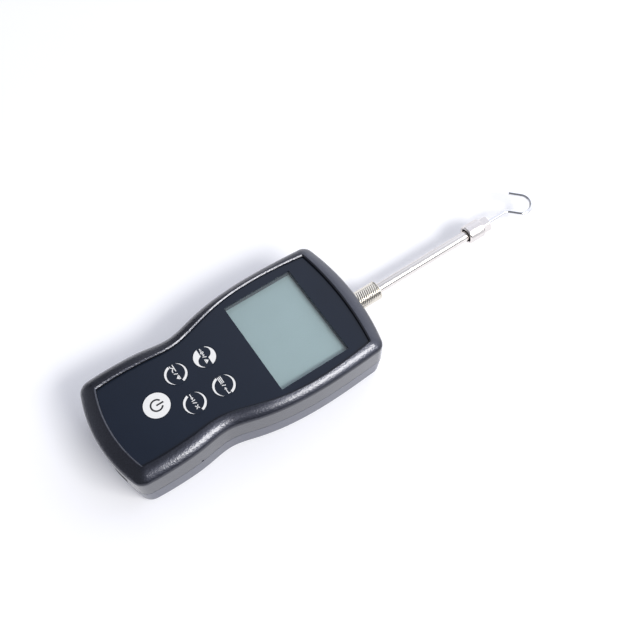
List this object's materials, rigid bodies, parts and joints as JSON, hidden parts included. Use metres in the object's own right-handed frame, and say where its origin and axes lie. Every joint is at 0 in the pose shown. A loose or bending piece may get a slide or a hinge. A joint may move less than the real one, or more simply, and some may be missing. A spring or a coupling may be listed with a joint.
{
  "type": "force gauge",
  "caption": "Handheld digital force gauge: waisted two-shell case with display and keys, load cell, sliding measuring shaft, screw-on extension rod and wire hook.",
  "frame": {"origin": "centre of the case's flat back face, which it rests on", "axes": "+Y along the measuring axis towards the hook, +Z out of the front panel, +X to the right seen from the front"},
  "size_m": [0.0798, 0.2913, 0.0345],
  "materials": {
    "case_paint": "satin metallic grey paint over moulded plastic, finely grained",
    "case_paint_back": "satin metallic grey paint over moulded plastic",
    "overlay_film": "satin black printed film",
    "clear_lens": "clear hard-coated acrylic",
    "key_film": "satin black film with white print",
    "power_key_film": "satin white print with a dark symbol",
    "switch_plastic": "matte",
    "bezel_steel": "plain sheet",
    "lcd_glass": "grey-green reflective display",
    "backlight_acrylic": "diffuse",
    "contact_rubber": "matte",
    "board_laminate": "solder mask",
    "chip_plastic": "matte epoxy",
    "connector_plastic": "matte",
    "buzzer_plastic": "matte",
    "jack_plastic": "matte",
    "socket_steel": "tinned",
    "screw_steel": "zinc plated",
    "cell_aluminium": "machined",
    "gauge_film": "polyimide film",
    "bracket_aluminium": "milled",
    "cell_screw_steel": "black oxide",
    "stop_aluminium": "milled",
    "shaft_steel": "ground",
    "seal_rubber": "matte",
    "battery_sleeve": "shrink sleeve",
    "strap_plastic": "matte",
    "lead_pvc": "soft PVC",
    "case_screw_steel": "black zinc",
    "insert_brass": "turned",
    "collar_nickel": "matte nickel, diamond knurl",
    "rod_chrome": "polished",
    "coupler_chrome": "satin nickel, fine straight knurl",
    "hook_chrome": "polished wire"
  },
  "bodies": {
    "case": {"front_cover": "case_paint", "back_cover": "case_paint_back", "front_overlay": "overlay_film", "window_lens": "clear_lens", "key_switches": "switch_plastic", "lcd_bezel": "bezel_steel", "lcd_glass": "lcd_glass", "lcd_backlight": "backlight_acrylic", "lcd_contact_strips": "contact_rubber", "main_board": "board_laminate", "board_chips": "chip_plastic", "board_connectors": "connector_plastic", "buzzer": "buzzer_plastic", "dc_jack": "jack_plastic", "data_socket": "socket_steel", "board_screws": "screw_steel", "load_cell": "cell_aluminium", "strain_gauges": "gauge_film", "load_cell_bracket": "bracket_aluminium", "load_cell_screws": "cell_screw_steel", "overload_stop": "stop_aluminium", "bracket_screws": "screw_steel", "shaft_seal": "seal_rubber", "battery_cells": "battery_sleeve", "battery_strap": "strap_plastic", "battery_lead": "lead_pvc", "load_cell_lead": "lead_pvc", "strap_screws": "screw_steel", "case_screws": "case_screw_steel", "mount_inserts": "insert_brass"},
    "up_key": {"up_key": "key_film"},
    "down_key": {"down_key": "key_film"},
    "enter_key": {"enter_key": "key_film"},
    "exit_key": {"exit_key": "key_film"},
    "power_key": {"power_key": "power_key_film"},
    "shaft": {"measuring_shaft": "shaft_steel"},
    "extension": {"rod_collar": "collar_nickel", "extension_rod": "rod_chrome"},
    "hook_end": {"hook_coupler": "coupler_chrome", "hook": "hook_chrome"}
  },
  "joints": [
    {"name": "up_key_press", "type": "slide", "parent": "case", "child": "up_key", "axis": [0, 0, -1], "range_m": [0, 0.00025], "stiffness_N_per_m": 2000},
    {"name": "down_key_press", "type": "slide", "parent": "case", "child": "down_key", "axis": [0, 0, -1], "range_m": [0, 0.00025], "stiffness_N_per_m": 2000},
    {"name": "enter_key_press", "type": "slide", "parent": "case", "child": "enter_key", "axis": [0, 0, -1], "range_m": [0, 0.00025], "stiffness_N_per_m": 2000},
    {"name": "exit_key_press", "type": "slide", "parent": "case", "child": "exit_key", "axis": [0, 0, -1], "range_m": [0, 0.00025], "stiffness_N_per_m": 2000},
    {"name": "power_key_press", "type": "slide", "parent": "case", "child": "power_key", "axis": [0, 0, -1], "range_m": [0, 0.00025], "stiffness_N_per_m": 2000},
    {"name": "shaft_load", "type": "slide", "parent": "case", "child": "shaft", "axis": [0, 1, 0], "range_m": [-0.00025, 0.00025], "stiffness_N_per_m": 20000},
    {"name": "rod_turn", "type": "hinge", "parent": "shaft", "child": "extension", "pos_m": [0, 0.0808, 0.0124], "axis": [0, 1, 0], "range_deg": [-180, 180]},
    {"name": "hook_turn", "type": "hinge", "parent": "extension", "child": "hook_end", "pos_m": [0, 0.1655, 0.0124], "axis": [0, 1, 0], "range_deg": [-180, 180]}
  ]
}
